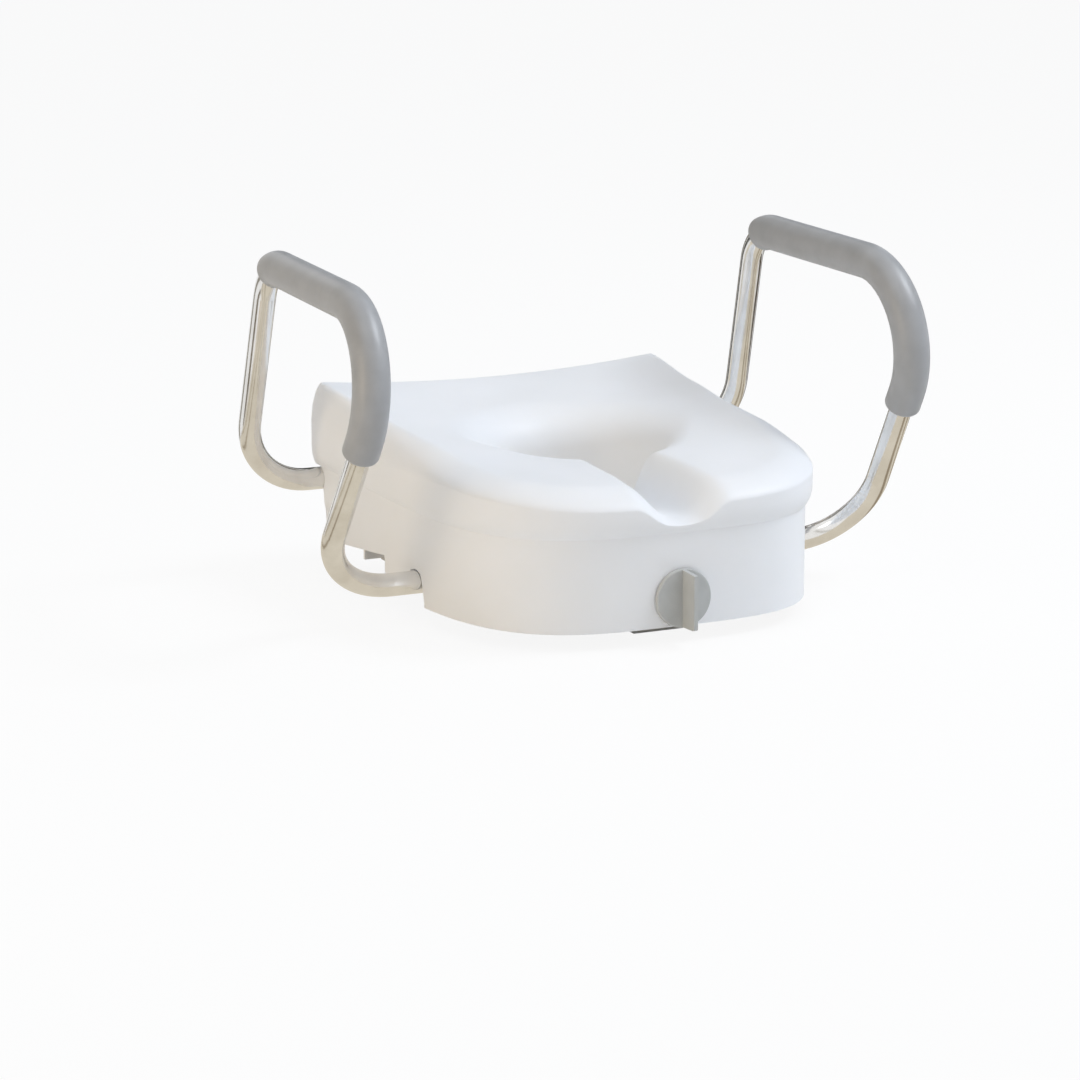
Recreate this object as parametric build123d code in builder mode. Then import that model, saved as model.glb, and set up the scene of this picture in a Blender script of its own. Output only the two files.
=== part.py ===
"""Raised toilet seat with two width-adjustable armrests and a dial-operated front clamp.

Millimetres, +Z up. X runs across the seat and -Y is the front, where the dial is. The origin is
on the ground under the middle of the whole part, which stands on its rear lugs and its clamp.
"""
import os
from math import atan2, cos, pi, sin

from build123d import *

os.makedirs("parts", exist_ok=True)

# ---- Seat plan ----
seat_half_width = 195.5
seat_rear_y = 230.0
seat_front_y = -207.0
front_curve_start_y = 65.5
front_curve_power = 3.4
rear_corner_radius = 16.0
wall = 3.5

# ---- Heights above the ground ----
rim_z = 22.0
skirt_bottom_z = 16.0
cap_lip_z = 104.5
seat_rear_top_z = 184.0
lobe_top_z = 162.0
front_edge_z = 137.0
rear_sag = 7.0

# ---- Skirt under the cap ----
skirt_inset = 6.0
skirt_corner_radius = 12.0
rear_wall_top_y = 212.5
rear_wall_foot_y = 195.0
rear_wall_foot_z = 34.0
side_recess = 2.0
ridge_y = 50.0
side_foot_front_z = 47.0
side_foot_rear_z = 30.0

# ---- Well (the oval opening) and the dip at the front ----
well_y = 7.5
well_half_width = 134.0
well_half_length = 118.0
throat_half_width = 104.0
throat_half_length = 96.0
throat_z = 66.0
inner_skirt_bottom_z = 9.0
dip_floor_z = 112.0
dip_half_width = 84.0

# ---- Armrest tubes ----
tube_diameter = 22.2
tube_wall = 1.5
tube_clearance = 0.3
front_foot_inner_x = 118.0
rear_foot_inner_x = 102.0
front_foot_y = -21.5
front_foot_z = 37.5
rear_foot_y = 216.5
rear_foot_z = 90.8
front_bend_low_x = 290.0
front_bend_high = (277.0, -194.0, 315.0)
rear_bend_high = (264.0, 153.5, 320.0)
rear_bend_low_x = 270.5
bend_radii = (72.0, 78.0, 45.0, 67.0)
arm_travel = 25.0
plug_head = 3.0
plug_stem = 12.0
fit_gap = 0.05

# ---- Grips ----
grip_diameter = 35.0
grip_gap = 0.15
grip_rear_share = 0.44
grip_front_share = 0.83
grip_end_radius = 4.0

# ---- Ribs, bosses and rim pads under the cap ----
rib_thickness = 3.0
rib_foot_z = 28.0
inner_rib_x = 126.0
outer_rib_x = 160.0
boss_height = 12.0
pad_y_front = -80.0
pad_y_rear = 120.0
pad_length = 44.0
pad_width = 30.0

# ---- Front saddles ----
front_saddle_length = 50.0
front_saddle_base = 2.8
screw_diameter = 4.0
screw_head_diameter = 8.0
screw_head_height = 2.4

# ---- Rear saddles and lock screws ----
rear_saddle_x = 146.0
rear_saddle_width = 32.0
rear_saddle_back = 1.9
rear_saddle_foot_z = 62.0
ear_width = 60.0
ear_height = 15.0
ear_thickness = 4.0
lock_screw_diameter = 8.0
lock_screw_tip_z = 87.0
knob_diameter = 27.0
knob_height = 13.0
knob_lobes = 6

# ---- Dial, spindle and clamp ----
dial_z = 43.0
dial_diameter = 56.0
dial_disc = 4.5
dial_fin_depth = 23.5
dial_fin_thickness = 4.0
washer_diameter = 20.0
washer_thickness = 1.0
spindle_diameter = 8.0
front_boss_diameter = 22.0
front_boss_depth = 8.0
collar_diameter = 16.0
collar_thickness = 5.0
guide_x = 33.0
rim_gap = 36.0
clamp_travel = 16.0
clamp_plate = 8.0
clamp_foot_width = 56.0
clamp_pad = 5.0
nut_across = 17.0
nut_thickness = 9.0

# ---- Rear locating lugs ----
lug_x = 85.0
lug_width = 30.0
lug_y = 150.0
lug_flange_length = 38.0
lug_thickness = 5.0

tube_radius = tube_diameter / 2
seat_top_limit = seat_rear_top_z + 30
skirt_half_width = seat_half_width - skirt_inset
skirt_front_y = seat_front_y + skirt_inset
skirt_wall = wall + side_recess
skirt_inner_front_y = skirt_front_y + skirt_wall


def front_curve(half, front):
    """Points of the rounded front, from the right side round to the left side."""
    steps = 12
    reach = front_curve_start_y - front
    shape = 2 / front_curve_power
    points = []
    for step in range(steps + 1):
        angle = pi * step / steps
        side = 1 if step * 2 < steps else -1
        across = side * half * abs(cos(angle)) ** shape
        points.append((across, front_curve_start_y - reach * abs(sin(angle)) ** shape))
    return points


def plan_outline(height, inset, rear_y, corner):
    """Return the seat's plan outline at a height, moved inwards by the inset."""
    half = seat_half_width - inset
    front = seat_front_y + inset
    with BuildSketch(Plane.XY.offset(height)) as outline:
        with BuildLine():
            Line((-half + corner, rear_y), (half - corner, rear_y))
            CenterArc((half - corner, rear_y - corner), corner, 0, 90)
            Line((half, rear_y - corner), (half, front_curve_start_y))
            Spline(*front_curve(half, front), tangents=((0, -1), (0, 1)))
            Line((-half, front_curve_start_y), (-half, rear_y - corner))
            CenterArc((-half + corner, rear_y - corner), corner, 90, 90)
        make_face()
    return outline.sketch


# Cap sections, as height and inset: the side bulges between the lip and the top.
cap_profile = (
    (cap_lip_z, 6.5),
    (cap_lip_z + 5, 2.2),
    (cap_lip_z + 32, 0.0),
    (cap_lip_z + 62, 1.5),
    (seat_rear_top_z + 6, 8.0),
)


def cap_sections(inward, bottom_lift):
    """Return the cap's sections, moved inwards, with the lowest one lifted."""
    sections = []
    for number, (height, inset) in enumerate(cap_profile):
        lift = bottom_lift if number == 0 else 0
        total = inset + inward
        corner = rear_corner_radius - total
        sections.append(plan_outline(height + lift, total, seat_rear_y - total, corner))
    return sections


# Stations along the seat's top, as y, height at the side edges and height on the centre line.
top_stations = (
    (seat_rear_y + 10, seat_rear_top_z + 1, seat_rear_top_z - rear_sag + 1),
    (seat_rear_y - 80, seat_rear_top_z - 7, seat_rear_top_z - 9),
    (well_y + 60, lobe_top_z + 8, lobe_top_z + 8),
    (well_y - 20, lobe_top_z + 4, lobe_top_z + 4),
    (well_y - 100, lobe_top_z, lobe_top_z),
    (seat_front_y + 55, lobe_top_z - 8, lobe_top_z - 8),
    (seat_front_y, front_edge_z, front_edge_z),
    (seat_front_y - 10, front_edge_z - 6, front_edge_z - 6),
)


def top_sections(drop):
    """Return sections of the space above the contoured top, which is lowered by the drop."""
    reach = seat_half_width + 8
    sections = []
    for y, side_z, middle_z in top_stations:
        low = side_z - drop
        with BuildSketch(Plane.XZ.offset(-y)) as section:
            with BuildLine():
                Spline((-reach, low), (0, middle_z - drop), (reach, low))
                Line((reach, low), (reach, seat_top_limit))
                Line((reach, seat_top_limit), (-reach, seat_top_limit))
                Line((-reach, seat_top_limit), (-reach, low))
            make_face()
        sections.append(section.sketch)
    return sections


# Well sections, as height and how far the oval has opened from its throat (0) to its rim (1).
well_profile = (
    (0.0, 0.0),
    (throat_z, 0.0),
    (throat_z + 50, 0.14),
    (lobe_top_z - 16, 0.5),
    (lobe_top_z + 4, 1.0),
    (seat_rear_top_z + 12, 2.1),
)


def well_sections(growth):
    """Return sections of the flared well, grown by a wall on every side."""
    sections = []
    for height, opening in well_profile:
        across = throat_half_width + opening * (well_half_width - throat_half_width)
        along = throat_half_length + opening * (well_half_length - throat_half_length)
        with BuildSketch(Plane((0, well_y, height))) as section:
            Ellipse(across + growth, along + growth)
        sections.append(section.sketch)
    return sections


def dip_sections(drop):
    """Return sections of the dip between the front lobes, lowered by the drop."""
    crest_z = lobe_top_z + 2 - drop
    sections = []
    for y, fall in ((seat_front_y - 20, 0), (well_y - 60, 8)):
        floor_z = dip_floor_z - fall - drop
        half = [
            (dip_half_width / 6, floor_z + 1),
            (dip_half_width / 2, (crest_z + floor_z) / 2 - 6),
            (dip_half_width, crest_z - 3),
            (dip_half_width + 30, crest_z + 14),
        ]
        mirrored = [(-x, z) for x, z in reversed(half)]
        with BuildSketch(Plane.XZ.offset(-y)) as section:
            with BuildLine():
                Spline(*mirrored, *half)
                Line(half[-1], mirrored[0])
            make_face()
        sections.append(section.sketch)
    return sections


def behind_rear_wall(inward):
    """Return the side view of all that lies behind the skirt's sloping rear wall."""
    slope = (rear_wall_top_y - rear_wall_foot_y) / (cap_lip_z - rear_wall_foot_z)
    foot_y = rear_wall_foot_y - slope * rear_wall_foot_z - inward
    with BuildSketch(Plane.YZ) as behind:
        with BuildLine():
            Polyline(
                (foot_y, 0),
                (foot_y + slope * cap_lip_z, cap_lip_z),
                (seat_rear_y + 20, cap_lip_z),
                (seat_rear_y + 20, 0),
                close=True,
            )
        make_face()
    return behind.sketch


rear_wall_slope = atan2(rear_wall_top_y - rear_wall_foot_y, cap_lip_z - rear_wall_foot_z)
rear_wall_plane = Plane(
    origin=(0, rear_wall_top_y, cap_lip_z),
    x_dir=(1, 0, 0),
    z_dir=(0, cos(rear_wall_slope), -sin(rear_wall_slope)),
)


# ---- The hollow inside the seat shell ----
with BuildPart() as skirt_hollow:
    extrude(
        plan_outline(0, skirt_inset + skirt_wall, rear_wall_top_y - wall, skirt_corner_radius - wall),
        amount=cap_lip_z + 2 * wall,
    )
    extrude(behind_rear_wall(wall), amount=seat_half_width, both=True, mode=Mode.SUBTRACT)

with BuildPart() as hollow:
    loft(cap_sections(wall, wall))
    add(skirt_hollow.part)
    loft(top_sections(wall), mode=Mode.SUBTRACT)
    loft(well_sections(wall), mode=Mode.SUBTRACT)
    loft(dip_sections(wall * 1.2), mode=Mode.SUBTRACT)

# ---- Ribs and bosses, which fill parts of the hollow ----
boss_z = rib_foot_z + boss_height / 2
boss_span = outer_rib_x - inner_rib_x
boss_x = (outer_rib_x + inner_rib_x) / 2
lug_boss_y = lug_y + lug_flange_length / 2
channel_block = 13.0
screw_post_y = front_foot_y - tube_radius - tube_clearance - 6
screw_post_step = 2 * (front_foot_y - screw_post_y)
ear_screw_x = (rear_saddle_width + ear_width) / 4
ear_drop = (cap_lip_z - rear_saddle_foot_z - ear_height / 2) / cos(rear_wall_slope)
lug_screw_y = lug_boss_y + 6
screw_grip = 9.0
pilot_points = (
    (boss_x, screw_post_y),
    (boss_x, screw_post_y + screw_post_step),
    (lug_x - 7, lug_screw_y),
    (lug_x + 7, lug_screw_y),
)

with BuildPart() as ribs:
    rib_height = seat_rear_top_z - rib_foot_z
    rib_middle_z = rib_foot_z + rib_height / 2
    # Long ribs over the rim pads and beside the lug bosses.
    for x in (inner_rib_x, outer_rib_x):
        with Locations((x, (pad_y_rear + pad_y_front) / 2, rib_middle_z)):
            Box(rib_thickness, pad_y_rear - pad_y_front + pad_length, rib_height)
    for x in (lug_x - lug_width / 2, lug_x + lug_width / 2):
        with Locations((x, (lug_y + rear_wall_top_y) / 2, rib_middle_z)):
            Box(rib_thickness, rear_wall_top_y - lug_y + 40, rib_height)
    # Cross ribs from the well to the side walls.
    for y in (pad_y_front, pad_y_rear):
        with Locations((seat_half_width / 2 + 30, y, rib_middle_z)):
            Box(seat_half_width, rib_thickness, rib_height)
    # Blocks that the rim pads, the front saddles and the lugs are fixed to.
    for y in (pad_y_front, pad_y_rear):
        with Locations((boss_x, y, boss_z)):
            Box(boss_span, pad_length, boss_height)
    for y in (screw_post_y, screw_post_y + screw_post_step):
        with Locations((boss_x, y, boss_z)):
            Box(boss_span, 12, boss_height)
    with Locations((lug_x, lug_boss_y, boss_z)):
        Box(lug_width, lug_flange_length, boss_height)
    # Guide ribs on both sides of the clamp.
    guide_length = well_y - throat_half_length - skirt_inner_front_y + 10
    with Locations((guide_x, skirt_inner_front_y + guide_length / 2 - 5, rib_middle_z)):
        Box(rib_thickness, guide_length, rib_height)
    # Thick band in the rear wall behind the tube channel, and posts for the ear screws.
    with Locations((0, rear_wall_top_y - channel_block, rear_foot_z)):
        Box(seat_half_width * 2, channel_block * 2, tube_diameter + 10)
    with Locations(rear_wall_plane):
        with Locations((rear_saddle_x - ear_screw_x, ear_drop), (rear_saddle_x + ear_screw_x, ear_drop)):
            Cylinder(5, 30)
    mirror(about=Plane.YZ)
    # Boss round the spindle, behind the front skirt.
    with BuildSketch(Plane.XZ.offset(-skirt_inner_front_y - front_boss_depth)):
        with Locations((0, dial_z)):
            Circle(front_boss_diameter / 2)
    extrude(amount=front_boss_depth + 2)
    add(hollow.part, mode=Mode.INTERSECT)

def side_foot(x):
    """Return the side view of what is cut from the foot of a side wall, at this x."""
    half = tube_radius + tube_clearance + 1.2
    tab_z = rib_foot_z + 3
    with BuildSketch(Plane.YZ.offset(x)) as foot:
        with BuildLine():
            Polyline(
                (front_foot_y - half - 4, 0),
                (front_foot_y - half - 4, skirt_bottom_z + 4),
                (front_foot_y - half, front_foot_z),
                (front_foot_y - half + 4, front_foot_z + half - 3),
                (front_foot_y, front_foot_z + half),
                (front_foot_y + half - 1, front_foot_z + half - 3),
                (front_foot_y + half, front_foot_z),
                (front_foot_y + half, tab_z),
                (ridge_y, tab_z),
                (ridge_y, side_foot_front_z),
                (rear_wall_top_y, side_foot_rear_z),
                (seat_rear_y, side_foot_rear_z),
                (seat_rear_y, 0),
                close=True,
            )
        make_face()
    return foot.sketch


# ---- Seat shell ----
with BuildPart() as seat_shell:
    extrude(
        plan_outline(skirt_bottom_z, skirt_inset, rear_wall_top_y, skirt_corner_radius),
        amount=cap_lip_z - skirt_bottom_z + 1,
    )
    # The side walls are set back behind the front section.
    for side in (-1, 1):
        with Locations((side * skirt_half_width, (ridge_y + seat_rear_y) / 2, cap_lip_z / 2)):
            Box(2 * side_recess, seat_rear_y - ridge_y, cap_lip_z + 4, mode=Mode.SUBTRACT)
    extrude(behind_rear_wall(0), amount=seat_half_width, both=True, mode=Mode.SUBTRACT)
    loft(cap_sections(0, 0))
    loft(top_sections(0), mode=Mode.SUBTRACT)
    loft(dip_sections(0), mode=Mode.SUBTRACT)
    add(hollow.part, mode=Mode.SUBTRACT)
    add(ribs.part)
    with BuildSketch(Plane.XY.offset(inner_skirt_bottom_z)):
        with Locations((0, well_y)):
            Ellipse(throat_half_width + wall, throat_half_length + wall)
    extrude(amount=throat_z - inner_skirt_bottom_z)
    loft(well_sections(0), mode=Mode.SUBTRACT)
    # The foot of the side walls, with a slot for the front foot of each tube.
    for side in (-1, 1):
        outline = side_foot(side * (outer_rib_x + 8))
        extrude(outline, amount=60, dir=(side, 0, 0), mode=Mode.SUBTRACT)
    # The rear wall ends above the rim.
    with Locations((0, rear_wall_top_y, rib_foot_z / 2)):
        Box(2 * seat_half_width, 60, rib_foot_z, mode=Mode.SUBTRACT)
    # Slots for the front feet through the ribs, and the channel for the rear feet.
    for side in (-1, 1):
        with Locations((side * boss_x, front_foot_y, front_foot_z)):
            Cylinder(tube_radius + tube_clearance, 60, rotation=(0, 90, 0), mode=Mode.SUBTRACT)
        with Locations((side * boss_x, front_foot_y, front_foot_z / 2)):
            Box(60, tube_diameter + 2 * tube_clearance, front_foot_z, mode=Mode.SUBTRACT)
    with Locations((0, rear_foot_y, rear_foot_z)):
        Cylinder(
            tube_radius + tube_clearance, 2 * seat_half_width, rotation=(0, 90, 0), mode=Mode.SUBTRACT
        )
    # Hole for the spindle through the front skirt and its boss.
    with BuildSketch(Plane.XZ.offset(wall - skirt_front_y)):
        with Locations((0, dial_z)):
            Circle(spindle_diameter / 2 + fit_gap)
    extrude(amount=-2 * wall - skirt_wall - front_boss_depth, mode=Mode.SUBTRACT)
    # Pilot holes for the screws.
    for side in (-1, 1):
        for x, y in pilot_points:
            with Locations((side * x, y, rib_foot_z + screw_grip / 2)):
                Cylinder(screw_diameter / 2 + fit_gap, screw_grip, mode=Mode.SUBTRACT)
        with Locations(rear_wall_plane):
            for x in (rear_saddle_x - ear_screw_x, rear_saddle_x + ear_screw_x):
                with Locations((side * x, ear_drop, -screw_grip / 2)):
                    Cylinder(screw_diameter / 2 + fit_gap, screw_grip, mode=Mode.SUBTRACT)
seat_shell.part.label = "seat_shell"
export_step(seat_shell.part, "parts/seat_shell.step")


def save(name, solid):
    """Label a finished piece and write it as a STEP file."""
    solid.label = name
    export_step(solid, f"parts/{name}.step")


def save_pair(name, right_solid):
    """Write a right-hand piece and its mirror image on the left."""
    save(f"right_{name}", right_solid)
    with BuildPart() as left_piece:
        mirror(right_solid, about=Plane.YZ)
    save(f"left_{name}", left_piece.part)


# ---- Armrest tubes ----
arm_points = (
    (front_foot_inner_x, front_foot_y, front_foot_z),
    (front_bend_low_x, front_foot_y, front_foot_z),
    front_bend_high,
    rear_bend_high,
    (rear_bend_low_x, rear_foot_y, rear_foot_z),
    (rear_foot_inner_x, rear_foot_y, rear_foot_z),
)
with BuildLine() as arm_line:
    FilletPolyline(*arm_points, radius=bend_radii)
arm_edges = arm_line.wire().order_edges()

with BuildPart() as arm_tube:
    with BuildSketch(Plane(origin=arm_points[0], z_dir=(1, 0, 0))):
        Circle(tube_radius)
        Circle(tube_radius - tube_wall, mode=Mode.SUBTRACT)
    sweep(path=arm_line.wire())
    # Slot in the underside of the rear foot, along which the lock screw lets the arm slide.
    slot_width = lock_screw_diameter + 2 * tube_clearance
    with BuildSketch(Plane.XY.offset(rear_foot_z - tube_radius - 1)):
        with Locations((rear_saddle_x - arm_travel / 2, rear_foot_y)):
            SlotOverall(arm_travel + slot_width, slot_width)
    extrude(amount=tube_wall + 3, mode=Mode.SUBTRACT)
save_pair("arm_tube", arm_tube.part)

# ---- Foam grips over the top and the front bend ----
front_leg, front_arc, top_run, rear_arc = arm_edges[2:6]
grip_path = Wire([front_leg.trim(grip_front_share, 1), front_arc, top_run, rear_arc.trim(0, grip_rear_share)])

with BuildPart() as grip:
    with BuildSketch(Plane(origin=grip_path @ 0, z_dir=grip_path % 0)):
        Circle(grip_diameter / 2)
        Circle(tube_radius + grip_gap, mode=Mode.SUBTRACT)
    sweep(path=grip_path)
    ends = (grip_path @ 0, grip_path @ 1)
    outer_circles = grip.edges().filter_by(GeomType.CIRCLE).filter_by(
        lambda edge: edge.radius > grip_diameter / 2 - 0.1
        and min((edge.arc_center - end).length for end in ends) < 0.1
    )
    fillet(outer_circles, grip_end_radius)
save_pair("grip", grip.part)

# ---- End plugs in the tubes' inner ends ----
for name, x, y, z in (
    ("front_plug", front_foot_inner_x, front_foot_y, front_foot_z),
    ("rear_plug", rear_foot_inner_x, rear_foot_y, rear_foot_z),
):
    with BuildPart() as plug:
        with BuildSketch(Plane.YZ.offset(x - plug_head)):
            with Locations((y, z)):
                Circle(tube_radius)
        extrude(amount=plug_head)
        fillet(plug.edges().group_by(Axis.X)[0], plug_head / 3)
        with BuildSketch(Plane.YZ.offset(x)):
            with Locations((y, z)):
                Circle(tube_radius - tube_wall - fit_gap)
        extrude(amount=plug_stem)
    save_pair(name, plug.part)

# ---- Front saddles under the front feet, with countersunk screws ----
front_saddle_z = front_foot_z - tube_radius - tube_clearance - front_saddle_base
front_screw_points = [(boss_x, y) for y in (screw_post_y, screw_post_y + screw_post_step)]

with BuildPart() as front_saddle:
    with BuildSketch(Plane.XY.offset(front_saddle_z)):
        with Locations((boss_x, front_foot_y)):
            RectangleRounded(boss_span - 4, front_saddle_length, 4)
    extrude(amount=rib_foot_z - front_saddle_z)
    with Locations((boss_x, front_foot_y, front_foot_z)):
        Cylinder(tube_radius + tube_clearance, 60, rotation=(0, 90, 0), mode=Mode.SUBTRACT)
    for point in front_screw_points:
        with Locations((*point, front_saddle_z)):
            Cylinder(screw_diameter / 2 + fit_gap, 30, mode=Mode.SUBTRACT)
        with BuildSketch(Plane((*point, front_saddle_z))):
            Circle(screw_head_diameter / 2 + fit_gap)
        extrude(amount=screw_head_height + fit_gap, mode=Mode.SUBTRACT)
save_pair("front_saddle", front_saddle.part)

with BuildPart() as front_saddle_screws:
    for point in front_screw_points:
        with BuildSketch(Plane((*point, front_saddle_z))):
            Circle(screw_head_diameter / 2)
        extrude(amount=screw_head_height)
        with BuildSketch(Plane((*point, front_saddle_z + screw_head_height))):
            Circle(screw_diameter / 2)
        extrude(amount=rib_foot_z + screw_grip - 1 - front_saddle_z - screw_head_height)
save_pair("front_saddle_screws", front_saddle_screws.part)

# ---- Rear saddles, which hold the rear feet in the rear wall's channel ----
rear_saddle_end_y = rear_foot_y + tube_radius + tube_clearance + rear_saddle_back
rear_saddle_top_z = cap_lip_z - 0.5
ear_points = [(rear_saddle_x + side * ear_screw_x, ear_drop) for side in (-1, 1)]

with BuildPart() as rear_saddle:
    saddle_height = rear_saddle_top_z - rear_saddle_foot_z
    with Locations((rear_saddle_x, rear_saddle_end_y - 20, rear_saddle_foot_z + saddle_height / 2)):
        Box(rear_saddle_width, 40, saddle_height)
    fillet(rear_saddle.edges().filter_by(Axis.X).group_by(Axis.Z)[0].sort_by(Axis.Y)[-1], 5)
    with Locations(rear_wall_plane):
        with Locations((rear_saddle_x, ear_drop, ear_thickness / 2)):
            Box(ear_width, ear_height, ear_thickness)
    split(bisect_by=rear_wall_plane, keep=Keep.TOP)
    with Locations((rear_saddle_x, rear_foot_y, rear_foot_z)):
        Cylinder(tube_radius + tube_clearance, 80, rotation=(0, 90, 0), mode=Mode.SUBTRACT)
    with Locations((rear_saddle_x, rear_foot_y, rear_saddle_foot_z)):
        Cylinder(lock_screw_diameter / 2 + fit_gap, 50, mode=Mode.SUBTRACT)
    with Locations(rear_wall_plane):
        with Locations(*ear_points):
            Cylinder(screw_diameter / 2 + fit_gap, 40, mode=Mode.SUBTRACT)
save_pair("rear_saddle", rear_saddle.part)

with BuildPart() as rear_saddle_screws:
    with Locations(rear_wall_plane):
        for x, y in ear_points:
            with Locations((x, y, ear_thickness + screw_head_height / 2)):
                Cylinder(screw_head_diameter / 2, screw_head_height)
            with Locations((x, y, (ear_thickness - screw_grip + 1) / 2)):
                Cylinder(screw_diameter / 2, ear_thickness + screw_grip - 1)
save_pair("rear_saddle_screws", rear_saddle_screws.part)

# ---- Lock screws with lobed knobs ----
knob_top_z = rear_saddle_foot_z - tube_clearance
knob_neck = 3.0
with BuildPart() as lock_screw:
    shank_z = knob_top_z - knob_neck - knob_height + 3
    with BuildSketch(Plane((rear_saddle_x, rear_foot_y, shank_z))):
        Circle(lock_screw_diameter / 2)
    extrude(amount=lock_screw_tip_z - shank_z)
    chamfer(lock_screw.edges().group_by(Axis.Z)[-1], 1)
save_pair("lock_screw", lock_screw.part)

with BuildPart() as lock_knob:
    with BuildSketch(Plane((rear_saddle_x, rear_foot_y, knob_top_z - knob_neck - knob_height))):
        Circle(knob_diameter / 2)
        with PolarLocations(knob_diameter / 2 + 2.5, knob_lobes):
            Circle(4.5, mode=Mode.SUBTRACT)
    extrude(amount=knob_height)
    with BuildSketch(Plane((rear_saddle_x, rear_foot_y, knob_top_z - knob_neck))):
        Circle(lock_screw_diameter / 2 + 3)
    extrude(amount=knob_neck)
    with BuildSketch(Plane((rear_saddle_x, rear_foot_y, shank_z))):
        Circle(lock_screw_diameter / 2 + fit_gap)
    extrude(amount=knob_height + knob_neck, mode=Mode.SUBTRACT)
save_pair("lock_knob", lock_knob.part)

# ---- Rubber pads on which the seat rests on the rim ----
for name, y in (("front_pad", pad_y_front), ("rear_pad", pad_y_rear)):
    with BuildPart() as rim_pad:
        with BuildSketch(Plane.XY.offset(rim_z)):
            with Locations((boss_x, y)):
                RectangleRounded(pad_width, pad_length - 4, 6)
        extrude(amount=rib_foot_z - rim_z)
        fillet(rim_pad.edges().group_by(Axis.Z)[0], 1.5)
    save_pair(name, rim_pad.part)

# ---- Dial with its grip fin ----
running_gap = 0.15
washer_y = skirt_front_y - running_gap
dial_back_y = washer_y - washer_thickness - running_gap
dial_face_y = dial_back_y - dial_disc
fin_end_y = dial_face_y - dial_fin_depth
with BuildPart() as dial:
    with BuildSketch(Plane.XZ.offset(-dial_back_y)):
        with Locations((0, dial_z)):
            Circle(dial_diameter / 2)
    extrude(amount=dial_disc)
    fillet(dial.edges().group_by(Axis.Y)[0], 1.5)
    with BuildSketch(Plane.YZ):
        with BuildLine():
            Polyline(
                (dial_face_y + 1, dial_z - dial_diameter / 2 + 1),
                (fin_end_y, dial_z - dial_diameter / 2 + 2),
                (fin_end_y, dial_z + dial_diameter / 2 - 2),
                (dial_face_y + 1, dial_z + dial_diameter / 2 - 1),
                close=True,
            )
        fin_face = make_face()
        fillet(fin_face.vertices().sort_by(Axis.Y)[:2], 3)
    extrude(amount=dial_fin_thickness / 2, both=True)
    with BuildSketch(Plane.XZ.offset(-dial_back_y)):
        with Locations((0, dial_z)):
            Circle(spindle_diameter / 2 + fit_gap)
    extrude(amount=dial_disc - 1, mode=Mode.SUBTRACT)
save("dial", dial.part)

# ---- Spindle with its washer and retaining collar ----
clamp_face_y = skirt_inner_front_y + rim_gap
plate_front_y = clamp_face_y + clamp_pad
plate_back_y = plate_front_y + clamp_plate
spindle_end_y = plate_back_y + nut_thickness + clamp_travel + 4
spindle_start_y = dial_back_y - dial_disc + 1.2
with BuildPart() as spindle:
    with BuildSketch(Plane.XZ.offset(-spindle_end_y)):
        with Locations((0, dial_z)):
            Circle(spindle_diameter / 2)
    extrude(amount=spindle_end_y - spindle_start_y)
    chamfer(spindle.edges().group_by(Axis.Y)[-1], 1)
save("spindle", spindle.part)

with BuildPart() as spindle_washer:
    with BuildSketch(Plane.XZ.offset(-washer_y)):
        with Locations((0, dial_z)):
            Circle(washer_diameter / 2)
            Circle(spindle_diameter / 2 + fit_gap, mode=Mode.SUBTRACT)
    extrude(amount=washer_thickness)
save("spindle_washer", spindle_washer.part)

collar_y = skirt_inner_front_y + front_boss_depth + running_gap + collar_thickness
with BuildPart() as spindle_collar:
    with BuildSketch(Plane.XZ.offset(-collar_y)):
        with Locations((0, dial_z)):
            Circle(collar_diameter / 2)
            Circle(spindle_diameter / 2 + fit_gap, mode=Mode.SUBTRACT)
    extrude(amount=collar_thickness)
    chamfer(spindle_collar.edges().group_by(Axis.Y)[-1].sort_by(Edge.length)[-1], 0.8)
save("spindle_collar", spindle_collar.part)

# ---- Clamp: a bracket between the guide ribs, with its nut and rubber pad ----
guide_half = guide_x - rib_thickness / 2 - 0.4
clamp_top_z = dial_z + 16
with BuildPart() as clamp_bracket:
    with BuildSketch(Plane.XZ.offset(-plate_back_y)):
        with BuildLine():
            Polyline(
                (-clamp_foot_width / 2, 0),
                (clamp_foot_width / 2, 0),
                (clamp_foot_width / 2, rim_z + 4),
                (guide_half, rim_z + 10),
                (guide_half, clamp_top_z),
                (-guide_half, clamp_top_z),
                (-guide_half, rim_z + 10),
                (-clamp_foot_width / 2, rim_z + 4),
                close=True,
            )
        bracket_face = make_face()
        fillet(bracket_face.vertices(), 3)
    extrude(amount=clamp_plate)
    # Webs behind the plate on both sides of the nut.
    for side in (-1, 1):
        with BuildSketch(Plane.YZ.offset(side * (nut_across / 2 + 5) - 2)):
            with BuildLine():
                Polyline(
                    (plate_back_y - 1, 2),
                    (plate_back_y, 2),
                    (plate_back_y + nut_thickness, dial_z - 6),
                    (plate_back_y + nut_thickness, clamp_top_z - 4),
                    (plate_back_y - 1, clamp_top_z - 4),
                    close=True,
                )
            make_face()
        extrude(amount=4)
    with BuildSketch(Plane.XZ.offset(-plate_back_y)):
        with Locations((0, dial_z)):
            Circle(spindle_diameter / 2 + 0.5)
    extrude(amount=clamp_plate, mode=Mode.SUBTRACT)
save("clamp_bracket", clamp_bracket.part)

with BuildPart() as clamp_nut:
    with BuildSketch(Plane.XZ.offset(-plate_back_y - nut_thickness)):
        with Locations((0, dial_z)):
            RegularPolygon(nut_across / 2, 6, major_radius=False)
            Circle(spindle_diameter / 2 + fit_gap, mode=Mode.SUBTRACT)
    extrude(amount=nut_thickness)
save("clamp_nut", clamp_nut.part)

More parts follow.
